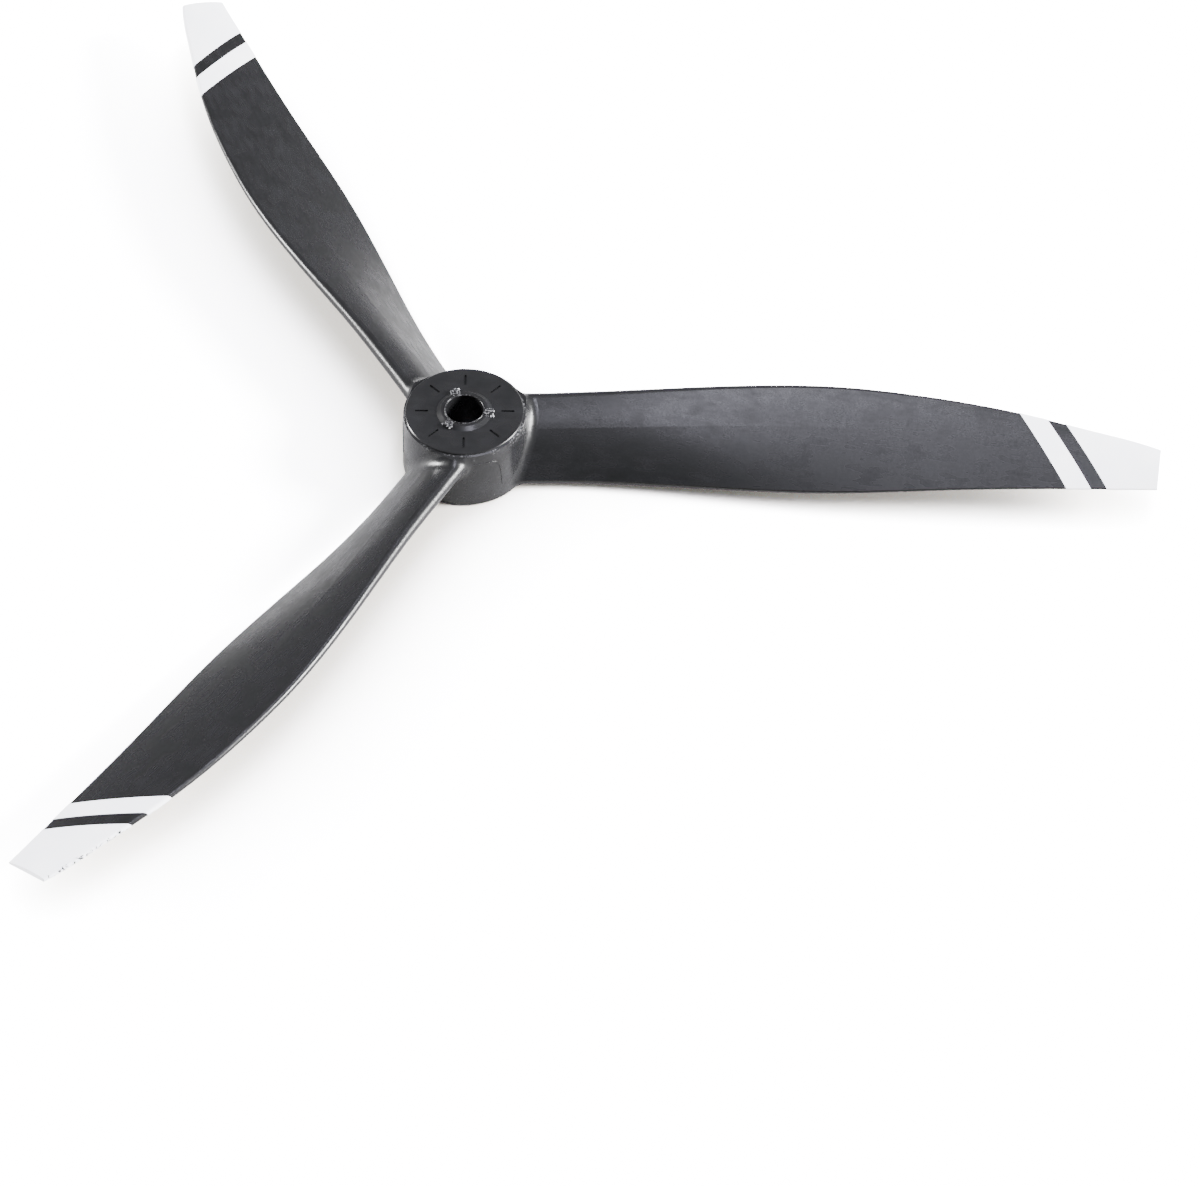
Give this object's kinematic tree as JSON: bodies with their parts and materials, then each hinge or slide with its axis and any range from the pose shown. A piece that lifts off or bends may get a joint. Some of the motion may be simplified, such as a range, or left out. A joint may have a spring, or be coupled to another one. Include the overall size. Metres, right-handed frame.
{
  "type": "model aeroplane propeller",
  "caption": "Fixed-pitch propeller for a model aeroplane: twisted blades round a short hub with a plain shaft bore, and white painted tips and bands.",
  "frame": {"origin": "on the bore's axis, on the hub's flat back face", "axes": "+Z along the bore axis, out of the front face, the way the thrust points; +X along the span of blade_1; +Y completes a right-handed frame"},
  "size_m": [0.2208, 0.2466, 0.0152],
  "materials": {
    "black_nylon": "satin",
    "white_paint": "satin paint"
  },
  "bodies": {
    "root": {"hub": "black_nylon", "blade_1": "black_nylon", "blade_2": "black_nylon", "blade_3": "black_nylon", "tip_coat_1": "white_paint", "tip_coat_2": "white_paint", "tip_coat_3": "white_paint", "band_coat_1": "white_paint", "band_coat_2": "white_paint", "band_coat_3": "white_paint"}
  },
  "joints": []
}
